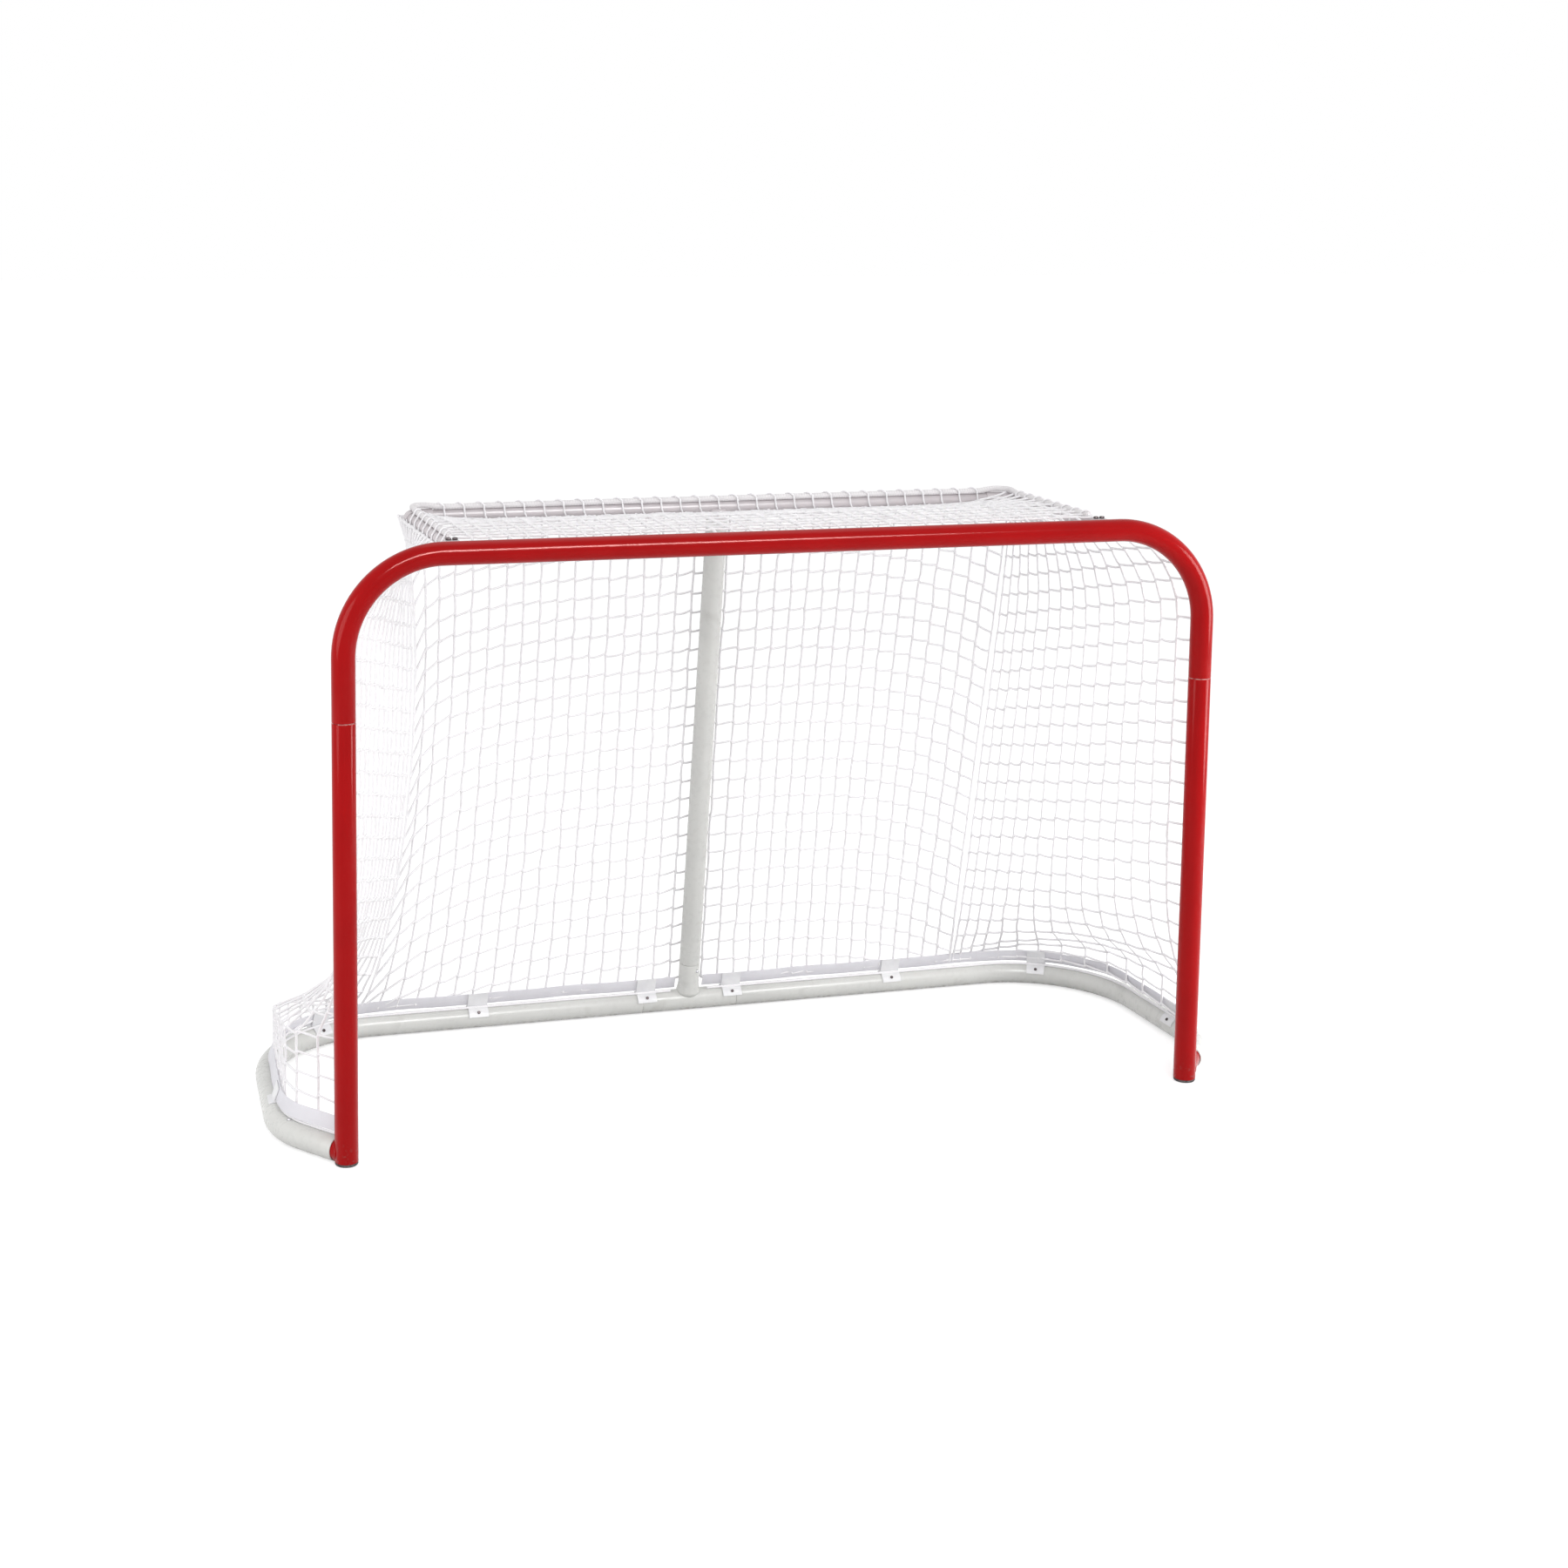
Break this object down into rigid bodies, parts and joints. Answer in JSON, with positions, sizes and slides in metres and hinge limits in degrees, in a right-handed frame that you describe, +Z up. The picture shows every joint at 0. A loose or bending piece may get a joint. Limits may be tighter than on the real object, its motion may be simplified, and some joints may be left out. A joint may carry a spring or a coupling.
{
  "type": "hockey goal",
  "caption": "Hockey goal with a round-cornered tube front frame, a curved floor tube, a leaning centre post, a rear rail and a cord net on the roof, sides and back.",
  "frame": {"origin": "Middle of the goal's footprint, on the floor.", "axes": "+X runs to the right along the crossbar seen from the front, +Y runs from the mouth to the back of the net, and +Z is up."},
  "size_m": [2.1288, 0.75, 1.25],
  "materials": {
    "frame_red": "gloss",
    "base_white": "gloss",
    "rail_white": "satin",
    "steel": "brushed",
    "dark_bolt": "dark satin",
    "plug_rubber": "matt",
    "clip_white": "matt",
    "band_grey": "matt",
    "net_cord": "matt"
  },
  "bodies": {
    "goal": {"crossbar": "frame_red", "left_post": "frame_red", "right_post": "frame_red", "left_post_sleeve": "steel", "right_post_sleeve": "steel", "left_foot_plug": "plug_rubber", "right_foot_plug": "plug_rubber", "left_foot_stub": "frame_red", "right_foot_stub": "frame_red", "left_base_tube": "base_white", "right_base_tube": "base_white", "base_tee": "base_white", "left_tee_sleeve": "steel", "right_tee_sleeve": "steel", "centre_post": "base_white", "centre_post_sleeve": "steel", "rail_saddle": "rail_white", "rear_rail": "rail_white", "left_rail_elbow": "rail_white", "right_rail_elbow": "rail_white", "left_top_arm": "rail_white", "right_top_arm": "rail_white", "left_arm_bracket": "rail_white", "right_arm_bracket": "rail_white", "left_bracket_bolt_inner": "dark_bolt", "left_bracket_bolt_outer": "dark_bolt", "right_bracket_bolt_inner": "dark_bolt", "right_bracket_bolt_outer": "dark_bolt", "left_side_band": "band_grey", "right_side_band": "band_grey", "left_back_band": "band_grey", "right_back_band": "band_grey", "left_net_clip_1": "clip_white", "left_net_clip_2": "clip_white", "left_net_clip_3": "clip_white", "left_net_clip_4": "clip_white", "right_net_clip_1": "clip_white", "right_net_clip_2": "clip_white", "right_net_clip_3": "clip_white", "right_net_clip_4": "clip_white", "left_clip_screw_1": "dark_bolt", "left_clip_screw_2": "dark_bolt", "left_clip_screw_3": "dark_bolt", "left_clip_screw_4": "dark_bolt", "right_clip_screw_1": "dark_bolt", "right_clip_screw_2": "dark_bolt", "right_clip_screw_3": "dark_bolt", "right_clip_screw_4": "dark_bolt", "left_net_side": "net_cord", "right_net_side": "net_cord", "net_back": "net_cord", "net_roof": "net_cord"},
    "left_base_button_body": {"left_base_button": "steel"},
    "right_base_button_body": {"right_base_button": "steel"},
    "centre_post_button_body": {"centre_post_button": "steel"}
  },
  "joints": [
    {"name": "left_base_button_press", "type": "slide", "parent": "goal", "child": "left_base_button_body", "axis": [0, 0, 1], "range_m": [-0.004, 0], "stiffness_N_per_m": 2500},
    {"name": "right_base_button_press", "type": "slide", "parent": "goal", "child": "right_base_button_body", "axis": [0, 0, 1], "range_m": [-0.004, 0], "stiffness_N_per_m": 2500},
    {"name": "centre_post_button_press", "type": "slide", "parent": "goal", "child": "centre_post_button_body", "axis": [0.5736, -0.8098, -0.1235], "range_m": [-0.004, 0], "stiffness_N_per_m": 2500}
  ]
}
